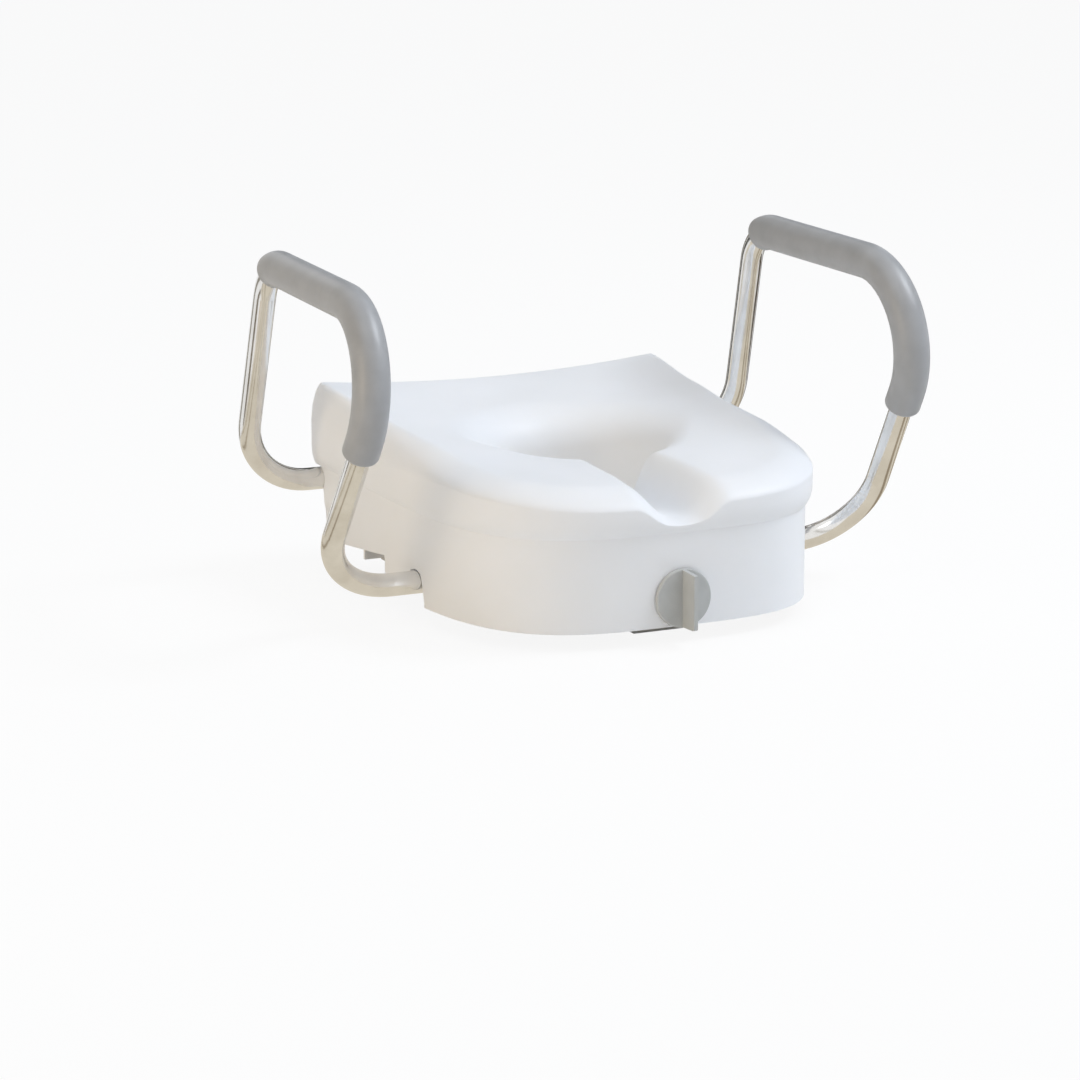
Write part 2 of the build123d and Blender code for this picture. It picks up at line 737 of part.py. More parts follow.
with BuildPart() as clamp_rubber:
    with BuildSketch(Plane.XZ.offset(-plate_front_y)):
        with Locations((0, rim_z / 2)):
            RectangleRounded(clamp_foot_width - 6, rim_z - 4, 4)
    extrude(amount=clamp_pad)
    fillet(clamp_rubber.edges().group_by(Axis.Y)[0], 1.5)
save("clamp_rubber", clamp_rubber.part)

# ---- Rear locating lugs, which drop inside the bowl ----
lug_top_z = rib_foot_z
lug_screw_points = [(lug_x + side * 7, lug_screw_y) for side in (-1, 1)]
with BuildPart() as lug:
    with BuildSketch(Plane.YZ.offset(lug_x - lug_width / 2)):
        with BuildLine():
            Polyline(
                (lug_y, 0),
                (lug_y, lug_top_z),
                (lug_y + lug_flange_length, lug_top_z),
                (lug_y + lug_flange_length, lug_top_z - lug_thickness),
                (lug_y + lug_thickness + 5, lug_top_z - lug_thickness),
                (lug_y + lug_thickness, lug_top_z - lug_thickness - 6),
                (lug_y + lug_thickness, 0),
                close=True,
            )
        make_face()
    extrude(amount=lug_width)
    fillet(lug.edges().filter_by(Axis.Y).group_by(Axis.Z)[0], 4)
    for point in lug_screw_points:
        with Locations((*point, lug_top_z)):
            Cylinder(screw_diameter / 2 + fit_gap, 30, mode=Mode.SUBTRACT)
save_pair("rear_lug", lug.part)

with BuildPart() as lug_screws:
    for point in lug_screw_points:
        head_z = lug_top_z - lug_thickness - screw_head_height
        with BuildSketch(Plane((*point, head_z))):
            Circle(screw_head_diameter / 2)
        extrude(amount=screw_head_height)
        with BuildSketch(Plane((*point, head_z + screw_head_height))):
            Circle(screw_diameter / 2)
        extrude(amount=lug_thickness + screw_grip - 1)
save_pair("rear_lug_screws", lug_screws.part)
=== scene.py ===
"""Raised toilet seat with armrests: white moulded seat, bright tubes, foam grips and a dial.

Metres, in the part's own frame: +Z up, -Y to the front, the origin on the ground.
"""

from math import cos, hypot, pi, radians, sin

import bmesh
import bpy
from mathutils import Matrix, Vector


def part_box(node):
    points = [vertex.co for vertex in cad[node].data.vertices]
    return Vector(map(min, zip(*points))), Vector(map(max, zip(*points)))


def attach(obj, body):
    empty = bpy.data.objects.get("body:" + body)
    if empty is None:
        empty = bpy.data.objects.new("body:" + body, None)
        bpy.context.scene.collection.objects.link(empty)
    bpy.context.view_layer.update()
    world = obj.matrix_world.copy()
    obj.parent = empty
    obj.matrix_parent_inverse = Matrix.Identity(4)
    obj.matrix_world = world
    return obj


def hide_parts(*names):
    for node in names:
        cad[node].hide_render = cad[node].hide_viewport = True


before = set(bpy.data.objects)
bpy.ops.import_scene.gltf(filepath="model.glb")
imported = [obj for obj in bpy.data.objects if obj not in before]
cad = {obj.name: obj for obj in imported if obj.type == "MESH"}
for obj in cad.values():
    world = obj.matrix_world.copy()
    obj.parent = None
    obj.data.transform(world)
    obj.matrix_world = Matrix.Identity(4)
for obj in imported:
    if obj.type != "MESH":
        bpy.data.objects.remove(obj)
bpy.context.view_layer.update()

# ---- Camera ----
# A long lens, a little above the seat and in front of its left corner. It looks at a point low
# on the centre line, and has no shift and no depth of field.
camera_data = bpy.data.cameras.new("camera")
camera_data.sensor_width = 36.0
camera_data.lens = 135.063
camera_data.clip_end = 50.0
camera = bpy.data.objects.new("camera", camera_data)
bpy.context.scene.collection.objects.link(camera)
camera.location = (-1.66763, -3.42310, 0.94810)
look_at = Vector((0.0, 0.10462, 0.03228))
camera.rotation_euler = (look_at - camera.location).to_track_quat("-Z", "Y").to_euler()
bpy.context.scene.camera = camera
bpy.context.scene.view_settings.view_transform = "Standard"

# ---- Studio: the floor ----
# A wide white floor, plain white to the camera and in mirrored and clear surfaces, that still
# takes the part's shadow. It can be seen through from below.
floor_size = 60.0
floor_grey = (0.86, 0.86, 0.86, 1)
floor_glow = 0.90
plain_white = (1, 1, 1, 1)


def add_object(name, shape):
    """Make an object at the origin from a finished shape, and free the shape."""
    mesh = bpy.data.meshes.new(name)
    shape.to_mesh(mesh)
    shape.free()
    made = bpy.data.objects.new(name, mesh)
    bpy.context.scene.collection.objects.link(made)
    return made


def background_rays(tree):
    """Give 1 to the rays that see the plain background: straight, mirrored and clear ones."""
    ray = tree.nodes.new("ShaderNodeLightPath")
    found = ray.outputs["Is Camera Ray"]
    for kind in ("Is Glossy Ray", "Is Transmission Ray"):
        either = tree.nodes.new("ShaderNodeMath")
        either.operation = "MAXIMUM"
        tree.links.new(found, either.inputs[0])
        tree.links.new(ray.outputs[kind], either.inputs[1])
        found = either.outputs[0]
    return found


def mixed(tree, share, first, second):
    """Mix two shaders by a share."""
    mix = tree.nodes.new("ShaderNodeMixShader")
    tree.links.new(share, mix.inputs["Fac"])
    tree.links.new(first, mix.inputs[1])
    tree.links.new(second, mix.inputs[2])
    return mix.outputs[0]


floor_bm = bmesh.new()
bmesh.ops.create_grid(floor_bm, x_segments=1, y_segments=1, size=floor_size / 2)
floor = add_object("floor", floor_bm)

floor_paint = bpy.data.materials.new("floor_paint")
floor_paint.use_nodes = True
tree = floor_paint.node_tree
tree.nodes.clear()
lit = tree.nodes.new("ShaderNodeBsdfDiffuse")
lit.inputs["Color"].default_value = floor_grey
glow = tree.nodes.new("ShaderNodeEmission")
glow.inputs["Color"].default_value = plain_white
share = tree.nodes.new("ShaderNodeMath")
share.operation = "MULTIPLY"
share.inputs[1].default_value = floor_glow
tree.links.new(background_rays(tree), share.inputs[0])
from_above = mixed(tree, share.outputs[0], lit.outputs[0], glow.outputs[0])
side_seen = tree.nodes.new("ShaderNodeNewGeometry")
clear = tree.nodes.new("ShaderNodeBsdfTransparent")
out = tree.nodes.new("ShaderNodeOutputMaterial")
one_sided = mixed(tree, side_seen.outputs["Backfacing"], from_above, clear.outputs[0])
tree.links.new(one_sided, out.inputs["Surface"])
floor.data.materials.append(floor_paint)

# ---- Studio: the sky ----
# A pale sky that lights the part: warm towards the left and below, cool towards the right and
# above, and stronger on the right. The camera and mirrored and clear surfaces see it white.
sky_warmth_along = (0.40, 0.05, 0.30)
sky_warmth_level = 0.5
sky_tones = ((0.10, (1.0, 0.88, 0.68, 1)), (0.75, (0.85, 0.91, 1.0, 1)))
sky_strength_along = (0.24, 0.05, -0.01)
sky_strength_level = 0.60


def slope_along(tree, heading, direction, level):
    """A value that grows along a direction from its level in the middle."""
    along = tree.nodes.new("ShaderNodeVectorMath")
    along.operation = "DOT_PRODUCT"
    along.inputs[1].default_value = direction
    raised = tree.nodes.new("ShaderNodeMath")
    raised.operation = "ADD"
    raised.inputs[1].default_value = level
    tree.links.new(heading, along.inputs[0])
    tree.links.new(along.outputs["Value"], raised.inputs[0])
    return raised.outputs[0]


world = bpy.data.worlds.new("sky")
bpy.context.scene.world = world
world.use_nodes = True
tree = world.node_tree
tree.nodes.clear()
heading = tree.nodes.new("ShaderNodeTexCoord").outputs["Generated"]
sky_colour = tree.nodes.new("ShaderNodeValToRGB")
for stop, (place, tone) in zip(sky_colour.color_ramp.elements, sky_tones):
    stop.position = place
    stop.color = tone
sky = tree.nodes.new("ShaderNodeBackground")
warmth = slope_along(tree, heading, sky_warmth_along, sky_warmth_level)
tree.links.new(warmth, sky_colour.inputs["Fac"])
tree.links.new(sky_colour.outputs["Color"], sky.inputs["Color"])
strength = slope_along(tree, heading, sky_strength_along, sky_strength_level)
tree.links.new(strength, sky.inputs["Strength"])
seen = tree.nodes.new("ShaderNodeBackground")
seen.inputs["Color"].default_value = plain_white
out = tree.nodes.new("ShaderNodeOutputWorld")
whole_sky = mixed(tree, background_rays(tree), sky.outputs[0], seen.outputs[0])
tree.links.new(whole_sky, out.inputs["Surface"])

# ---- Studio: the lamps ----
# A large cool lamp high on the right, a weak one high above the front left, a large warm one
# low on the left, and a faint warm one under the seat for the light that a bowl throws back.
seat_middle = (0.0, 0.0, 0.12)
bowl_middle = (0.0, 0.02, 0.003)
above_bowl = (0.0, 0.02, 1.0)


def studio_lamp(name, place, aim, size, power, colour):
    """Add a square soft lamp that points at a place."""
    lamp_data = bpy.data.lights.new(name, "AREA")
    lamp_data.size = size
    lamp_data.energy = power
    lamp_data.color = colour
    lamp = bpy.data.objects.new(name, lamp_data)
    bpy.context.scene.collection.objects.link(lamp)
    lamp.visible_camera = False
    lamp.location = place
    lamp.rotation_euler = (Vector(aim) - Vector(place)).to_track_quat("-Z", "Y").to_euler()


studio_lamp(
    "key", (1.8, -0.7, 2.6), aim=seat_middle, size=1.1, power=47.0, colour=(0.88, 0.93, 1.0)
)
studio_lamp(
    "top", (-1.0, -0.9, 2.8), aim=seat_middle, size=1.2, power=7.0, colour=(0.90, 0.94, 1.0)
)
studio_lamp(
    "bowl", bowl_middle, aim=above_bowl, size=0.14, power=0.025, colour=(1.0, 0.86, 0.62)
)
studio_lamp(
    "fill", (-2.5, -0.5, 0.6), aim=seat_middle, size=1.4, power=17.0, colour=(1.0, 0.80, 0.54)
)

# ---- Studio: dark cards ----
# Cards stand close round the part for the polished tubes to mirror, and give the bright metal
# its dark edge lines and streaks. A round card with four dark strips lies under the part, for
# the tubes' undersides. Only mirrored rays see the cards, so they shade nothing.
card_distance = 0.66
card_foot_z = 0.002
card_top_z = 1.1
# Each standing card: its bearing from the front in degrees, its width and its colour.
standing_cards = (
    (-108, 0.12, (0.20, 0.17, 0.13)),
    (-84, 0.16, (0.62, 0.50, 0.36)),
    (-60, 0.05, (0.42, 0.35, 0.26)),
    (12, 0.06, (0.50, 0.48, 0.44)),
    (52, 0.13, (0.56, 0.50, 0.42)),
    (78, 0.16, (0.40, 0.33, 0.24)),
    (104, 0.24, (0.12, 0.10, 0.08)),
    (130, 0.22, (0.07, 0.06, 0.05)),
    (154, 0.24, (0.16, 0.14, 0.11)),
    (180, 0.24, (0.07, 0.07, 0.06)),
    (222, 0.14, (0.30, 0.28, 0.24)),
)
laid_card_radius = 0.64
laid_card_sides = 48
laid_card_tone = (0.74, 0.68, 0.57)
# The strips: the place and the width of each across the part, and what they have in common.
strips = ((-0.53, 0.026), (-0.40, 0.026), (0.37, 0.055), (0.49, 0.050))
strip_length = 0.90
strip_y = -0.10
strip_z = 0.004
strip_tone = (0.34, 0.28, 0.20)


def card_sheet(shape, width, length):
    """Add a flat sheet, and return its corners."""
    corners = bmesh.ops.create_grid(shape, x_segments=1, y_segments=1, size=0.5)["verts"]
    bmesh.ops.scale(shape, vec=(width, length, 1), verts=corners)
    return corners


def place_card(name, shape, tones):
    """Set up a card with one glowing paint for each tone, for mirrored rays alone."""
    card = add_object(name, shape)
    card.visible_camera = False
    card.visible_diffuse = False
    card.visible_shadow = False
    card.visible_transmission = False
    for number, tone in enumerate(tones):
        card_paint = bpy.data.materials.new(f"{name}_paint_{number}")
        card_paint.use_nodes = True
        tree = card_paint.node_tree
        tree.nodes.clear()
        shade = tree.nodes.new("ShaderNodeEmission")
        shade.inputs["Color"].default_value = (*tone, 1)
        out = tree.nodes.new("ShaderNodeOutputMaterial")
        tree.links.new(shade.outputs[0], out.inputs["Surface"])
        card.data.materials.append(card_paint)


upright = Matrix.Rotation(radians(90), 3, "X")
for number, (bearing, width, tone) in enumerate(standing_cards):
    card_bm = bmesh.new()
    card_sheet(card_bm, width, card_top_z - card_foot_z)
    bmesh.ops.rotate(card_bm, cent=(0, 0, 0), matrix=upright, verts=card_bm.verts)
    bmesh.ops.translate(
        card_bm, vec=(0, -card_distance, (card_top_z + card_foot_z) / 2), verts=card_bm.verts
    )
    turned = Matrix.Rotation(radians(bearing), 3, "Z")
    bmesh.ops.rotate(card_bm, cent=(0, 0, 0), matrix=turned, verts=card_bm.verts)
    place_card(f"card_{number}", card_bm, (tone,))

card_bm = bmesh.new()
bmesh.ops.create_circle(card_bm, cap_ends=True, segments=laid_card_sides, radius=laid_card_radius)
bmesh.ops.translate(card_bm, vec=(0, 0, card_foot_z), verts=card_bm.verts)
for strip_x, strip_width in strips:
    corners = card_sheet(card_bm, strip_width, strip_length)
    bmesh.ops.translate(card_bm, vec=(strip_x, strip_y, strip_z), verts=corners)
    corners[0].link_faces[0].material_index = 1
place_card(f"card_{len(standing_cards)}", card_bm, (laid_card_tone, strip_tone))

# ---- Seat shell ----
# The seat is one hollow moulding in white polyethylene: a deep skirt that stands round the
# bowl's rim, and over it a broad cap with a dished top, a round well and a dip at the front.
seat_low, seat_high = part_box("seat_shell")
seat_half = seat_high.x
seat_rear = seat_high.y
seat_front = seat_low.y
seat_wall = 0.0045
spokes = 320

# The outline: straight sides with rounded rear corners, and a blunt rounded front.
corner_radius = 0.016
curve_start = 0.0655
curve_power = 3.4

# The skirt and the rear wall, and the lip of the cap over them.
skirt_foot_z = 0.016
skirt_inset = 0.006
lip_z = 0.1045
lip_undercut = 0.020
undercut_power = 2.5
rear_wall_slope = 0.25
rear_wall_inset = 0.0175

# The well: an oval throat, under a rim that is rounded more broadly at the rear. Each rounding
# has how far it reaches outwards and down, and the rear's takes over from the front's.
well_y = 0.025
throat_half = (0.084, 0.080)
throat_foot_z = seat_low.z
rim_round_front = (0.029, 0.029)
rim_round_rear = (0.046, 0.037)
rim_change_y = -0.03
rim_change_length = 0.08

# Heights along the seat from the rear to the front: near the sides, and on the centre line.
side_heights = (
    (0.230, 0.1850), (0.127, 0.1755), (0.039, 0.1695), (-0.021, 0.1670),
    (-0.086, 0.1600), (-0.130, 0.1560), (-0.170, 0.1530), (-0.207, 0.1500),
)
middle_heights = (
    (0.230, 0.1770), (0.125, 0.1610), (0.025, 0.1545), (-0.048, 0.1515),
    (-0.134, 0.1505), (-0.175, 0.1480), (-0.207, 0.1460),
)
dish_half = 0.17
dish_most = 1.1
# Between two stations a height eases in and out, and is part straight.
eased_part = 0.45
straight_part = 0.55

# The dip's floor, and how far its flat bottom and its walls reach to each side.
dip_floors = ((-0.040, 0.100), (-0.100, 0.107), (-0.160, 0.114), (-0.205, 0.1195))
dip_reach = ((-0.050, 0.041), (-0.134, 0.045), (-0.205, 0.050))
dip_flat = 0.003
dip_rear_y = 0.06

# The rounding of the top's edge: how far it reaches inwards and down. It falls by at most a
# share of the cap's side, and reaches inwards by at most a few times its fall.
shoulder_across = (
    (0.210, 0.015), (0.120, 0.022), (0.000, 0.030), (-0.100, 0.034), (-0.160, 0.034),
)
shoulder_down = (
    (0.210, 0.040), (0.080, 0.039), (-0.020, 0.028), (-0.090, 0.019), (-0.160, 0.016),
)
shoulder_power = 1.5
shoulder_most_down = 0.75
shoulder_most_across = 4.0
rear_shoulder = (0.008, 0.010)

# The rings of the skin: up the skirt, up the cap's side, over the top and down the throat.
skirt_ring_heights = (
    skirt_foot_z, 0.022, 0.034, 0.050, 0.068, 0.086, 0.098, 0.1035, lip_z - 0.0002,
)
side_ring_shares = (0.0, 0.03, 0.08, 0.15, 0.25, 0.4, 0.6, 0.8, 0.93)
top_rings = 64
throat_ring_shares = (0.04, 0.12, 0.25, 0.5, 0.75, 0.97, 1.0)

# How often edge_point halves its way to the outline, from a reach that is surely beyond it,
# and where the top's height at the edge is read.
outline_halvings = 34
beyond_outline = 0.5
just_inside = 0.9999


def smooth(share):
    """Ease from 0 to 1."""
    share = min(max(share, 0.0), 1.0)
    return share * share * (3 - 2 * share)


def between(value, stations):
    """Smoothly interpolate between stations, each a place and what it has there."""
    if value >= stations[0][0]:
        return stations[0][1]
    for (high, at_high), (low, at_low) in zip(stations, stations[1:]):
        if value >= low:
            share = (value - low) / (high - low)
            share = smooth(share) * eased_part + share * straight_part
            return at_low + share * (at_high - at_low)
    return stations[-1][1]


def edge_distance(x, y, inset, rear):
    """How far a plan point lies inside the outline, and how much its edge faces the rear."""
    half = seat_half - inset
    corner = corner_radius - inset
    if y >= curve_start:
        over_x = abs(x) - (half - corner)
        over_y = y - (rear - corner)
        outside = hypot(max(over_x, 0.0), max(over_y, 0.0))
        distance = corner - outside - min(max(over_x, over_y), 0.0)
        if outside > 1e-9:
            faces_rear = (max(over_y, 0.0) / outside) ** 2
        else:
            faces_rear = 1.0 if over_y > over_x else 0.0
        return distance, faces_rear
    reach = curve_start - (seat_front + inset)
    across = abs(x) / half
    along = (curve_start - y) / reach
    round_one = (across**curve_power + along**curve_power) ** (1 / curve_power)
    if round_one < 1e-6:
        return half, 0.0
    slope_x = (across / round_one) ** (curve_power - 1) / half
    slope_y = (along / round_one) ** (curve_power - 1) / reach
    return (1 - round_one) / hypot(slope_x, slope_y), 0.0


def edge_point(turn, inset, rear):
    """The outline's point in one direction from the middle of the well."""
    near, far = 0.0, beyond_outline
    for _ in range(outline_halvings):
        middle = (near + far) / 2
        x = middle * cos(turn)
        y = well_y + middle * sin(turn)
        if edge_distance(x, y, inset, rear)[0] > 0:
            near = middle
        else:
            far = middle
    return Vector((near * cos(turn), well_y + near * sin(turn)))


def throat_distance(x, y):
    """How far a plan point lies outside the throat of the well."""
    across = x / throat_half[0]
    along = (y - well_y) / throat_half[1]
    round_one = hypot(across, along)
    slope = hypot(across / throat_half[0], along / throat_half[1]) / round_one
    return (round_one - 1) / slope


def rounded_drop(distance, across, down, power=2.0):
    """How far a rounded edge falls below the surface that it bounds."""
    if distance >= across:
        return 0.0
    share = min(max(1 - distance / across, 0.0), 1.0)
    return down * (1 - (1 - share**power) ** (1 / power))


def dished_height(x, y):
    """The dished top, before its edges, the dip and the well."""
    middle = between(y, middle_heights)
    side = between(y, side_heights)
    return middle + (side - middle) * min(abs(x) / dish_half, dish_most) ** 2


def top_height(x, y):
    """The height of the seat's finished top."""
    height = dished_height(x, y)
    if y < dip_rear_y:
        floor_height = between(y, dip_floors)
        reach = between(y, dip_reach)
        wall = smooth((abs(x) - dip_flat) / (reach - dip_flat))
        height = floor_height + (height - floor_height) * wall
    distance, faces_rear = edge_distance(x, y, 0.0, seat_rear)
    across = between(y, shoulder_across)
    down = min(between(y, shoulder_down), shoulder_most_down * (height - lip_z))
    across = min(across, down * shoulder_most_across)
    across += (rear_shoulder[0] - across) * faces_rear
    down += (rear_shoulder[1] - down) * faces_rear
    height -= rounded_drop(distance, across, down, shoulder_power)
    rear_share = smooth((y - rim_change_y) / rim_change_length)
    across, down = (
        front + (rear - front) * rear_share
        for front, rear in zip(rim_round_front, rim_round_rear)
    )
    return height - rounded_drop(throat_distance(x, y), across, down)


def lip_inset(height):
    """How far the cap's side is tucked in, close above its lip."""
    share = min(max(1 - (height - lip_z) / lip_undercut, 0.0), 1.0)
    return skirt_inset * share**undercut_power


def ring_positions():
    """The seat's outer skin as rings, from the skirt's foot over the cap and down the well."""
    turns = [2 * pi * spoke / spokes for spoke in range(spokes)]
    rings = []
    for height in skirt_ring_heights:
        rear = seat_rear - rear_wall_inset - (lip_z - height) * rear_wall_slope + skirt_inset
        points = [edge_point(turn, skirt_inset, rear) for turn in turns]
        rings.append([Vector((p.x, p.y, height)) for p in points])
    outer = [edge_point(turn, 0.0, seat_rear) for turn in turns]
    tops = [
        top_height(p.x * just_inside, well_y + (p.y - well_y) * just_inside) for p in outer
    ]
    for share in side_ring_shares:
        ring = []
        for turn, top in zip(turns, tops):
            height = lip_z + share * (top - lip_z)
            point = edge_point(turn, lip_inset(height), seat_rear)
            ring.append(Vector((point.x, point.y, height)))
        rings.append(ring)
    edges = [edge_point(turn, lip_inset(top), seat_rear) for turn, top in zip(turns, tops)]
    throats = []
    for turn in turns:
        reach = 1 / hypot(cos(turn) / throat_half[0], sin(turn) / throat_half[1])
        throats.append(Vector((reach * cos(turn), well_y + reach * sin(turn))))
    for step in range(top_rings + 1):
        share = 0.5 - 0.5 * cos(pi * step / top_rings)
        ring = []
        for edge, throat in zip(edges, throats):
            point = edge.lerp(throat, share)
            ring.append(Vector((point.x, point.y, top_height(point.x, point.y))))
        rings.append(ring)
    rim_foot = rings[-1]
    for share in throat_ring_shares:
        rings.append([
            Vector((p.x, p.y, p.z + (throat_foot_z - p.z) * share)) for p in rim_foot
        ])
    return rings


def fresh_parts(grown):
    """The new corners and the new edges between them, of what an extrusion has grown."""
    corners = {part for part in grown if isinstance(part, bmesh.types.BMVert)}
    edges = [
        part for part in grown if isinstance(part, bmesh.types.BMEdge)
        and part.verts[0] in corners and part.verts[1] in corners
    ]
    return corners, edges


def bake_modifiers(piece):
    """Apply all the modifiers of a piece to its mesh."""
    graph = bpy.context.evaluated_depsgraph_get()
    baked = bpy.data.meshes.new_from_object(piece.evaluated_get(graph))
    piece.modifiers.clear()
    piece.data = baked


def cut_away(piece, cutter_bm):
    """Cut a closed shape out of a piece."""
    bmesh.ops.recalc_face_normals(cutter_bm, faces=cutter_bm.faces)
    cutter = add_object("cutter", cutter_bm)
    cutter_mesh = cutter.data
    cut = piece.modifiers.new("cut", "BOOLEAN")
    cut.operation = "DIFFERENCE"
    cut.solver = "EXACT"
    cut.object = cutter
    bake_modifiers(piece)
    bpy.data.objects.remove(cutter)
    bpy.data.meshes.remove(cutter_mesh)


def add_block(shape, low, high):
    """Add a box between two corners."""
    size = Vector(high) - Vector(low)
    middle = (Vector(low) + Vector(high)) / 2
    place = Matrix.Translation(middle) @ Matrix.Diagonal((*size, 1))
    bmesh.ops.create_cube(shape, size=1, matrix=place)


def add_bar(shape, radius, length, place, axis, sides=64):
    """Add a round bar that is centred on a place and lies along an axis."""
    turn = Vector((0, 0, 1)).rotation_difference(Vector(axis)).to_matrix().to_4x4()
    bmesh.ops.create_cone(
        shape, cap_ends=True, segments=sides, radius1=radius, radius2=radius, depth=length,
        matrix=Matrix.Translation(place) @ turn,
    )


# The skin: a circle of edges, pulled from ring to ring.
seat_bm = bmesh.new()
rings = ring_positions()
bmesh.ops.create_circle(seat_bm, cap_ends=False, segments=spokes, radius=seat_half)
for vert in seat_bm.verts:
    turn = vert.co.xy.angle_signed(Vector((1, 0))) % (2 * pi)
    vert.index = round(turn * spokes / (2 * pi)) % spokes
ring_verts = sorted(seat_bm.verts, key=lambda vert: vert.index)
for vert, place in zip(ring_verts, rings[0]):
    vert.co = place
ring_edges = list(seat_bm.edges)
for ring in rings[1:]:
    grown = bmesh.ops.extrude_edge_only(seat_bm, edges=ring_edges)["geom"]
    fresh, ring_edges = fresh_parts(grown)
    ring_verts = [
        next(edge.other_vert(vert) for edge in vert.link_edges if edge.other_vert(vert) in fresh)
        for vert in ring_verts
    ]
    for vert, place in zip(ring_verts, ring):
        vert.co = place
bmesh.ops.recalc_face_normals(seat_bm, faces=seat_bm.faces)
top_face = max(seat_bm.faces, key=lambda face: face.calc_center_median().z)
if top_face.normal.z < 0:
    bmesh.ops.reverse_faces(seat_bm, faces=seat_bm.faces)
seat = add_object("seat_shell_moulding", seat_bm)

thicken = seat.modifiers.new("wall", "SOLIDIFY")
thicken.thickness = seat_wall
thicken.offset = -1
thicken.use_rim = True
bake_modifiers(seat)

# The tubes' feet, and the play that the rear channel and the front slots leave round them.
tube_radius = 0.0111
channel_play = 0.0003
slot_play = 0.0015
front_foot_y = -0.0215
front_foot_z = 0.0375
rear_foot_y = 0.2165
rear_foot_z = 0.0908

# The side walls are set back behind the front section, and their feet are cut up to a step,
# with a round-topped slot for the front foot of the tube. The cuts start below the seat and
# end beside and behind it.
ridge_y = 0.050
side_recess = 0.002
recess_gap = 0.0006
cut_below = -0.01
cut_beside = 0.21
cut_behind = 0.24
foot_cut_start = 0.150
foot_cut_depth = 0.07
slot_half = tube_radius + slot_play
slot_front = front_foot_y - slot_half
slot_rear = front_foot_y + slot_half
slot_top = front_foot_z + slot_half
slot_flare = 0.004
slot_fall = 0.003
slot_rear_corner = 0.001
side_foot_z = 0.031
side_step_z = 0.047
rear_end_y = 0.2125
rear_end_z = 0.030
foot_profile = (
    (slot_front - slot_flare, cut_below),
    (slot_front - slot_flare, skirt_foot_z + slot_flare),
    (slot_front, front_foot_z),
    (slot_front + slot_flare, slot_top - slot_fall),
    (front_foot_y, slot_top),
    (slot_rear - slot_rear_corner, slot_top - slot_fall),
    (slot_rear, front_foot_z),
    (slot_rear, side_foot_z),
    (ridge_y, side_foot_z),
    (ridge_y, side_step_z),
    (rear_end_y, rear_end_z),
    (cut_behind, rear_end_z),
    (cut_behind, cut_below),
)
recess_inner = seat_half - skirt_inset - side_recess
for side in (-1, 1):
    near, far = sorted((side * recess_inner, side * cut_beside))
    recess = bmesh.new()
    add_block(recess, (near, ridge_y, cut_below), (far, cut_behind, lip_z - recess_gap))
    cut_away(seat, recess)
    foot_cut = bmesh.new()
    corners = [foot_cut.verts.new((side * foot_cut_start, y, z)) for y, z in foot_profile]
    face = foot_cut.faces.new(corners)
    pushed = bmesh.ops.extrude_face_region(foot_cut, geom=[face])["geom"]
    moved = [part for part in pushed if isinstance(part, bmesh.types.BMVert)]
    bmesh.ops.translate(foot_cut, vec=(side * foot_cut_depth, 0, 0), verts=moved)
    cut_away(seat, foot_cut)

# The rear wall ends above the rim, and carries the channel for the rear feet of the tubes.
# The front wall has the hole for the clamp's spindle.
rear_cut_low = (-0.2, 0.1825, cut_below)
rear_cut_high = (0.2, 0.25, 0.028)
channel_length = 0.5
spindle_z = 0.043
spindle_hole_radius = 0.00405
spindle_hole_depth = 0.04
rear_cut = bmesh.new()
add_block(rear_cut, rear_cut_low, rear_cut_high)
cut_away(seat, rear_cut)
channel = bmesh.new()
channel_place = (0, rear_foot_y, rear_foot_z)
add_bar(channel, tube_radius + channel_play, channel_length, channel_place, (1, 0, 0))
cut_away(seat, channel)
spindle_hole = bmesh.new()
spindle_place = (0, seat_front, spindle_z)
add_bar(spindle_hole, spindle_hole_radius, spindle_hole_depth, spindle_place, (0, 1, 0))
cut_away(seat, spindle_hole)
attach(seat, "seat")
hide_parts("seat_shell")


def shade_smooth(piece, limit=32):
    """Shade a piece smoothly, apart from edges that turn more than the limit in degrees."""
    shape = bmesh.new()
    shape.from_mesh(piece.data)
    for face in shape.faces:
        face.smooth = True
    for edge in shape.edges:
        edge.smooth = len(edge.link_faces) != 2 or edge.calc_face_angle(0.0) < radians(limit)
    shape.to_mesh(piece.data)
    shape.free()


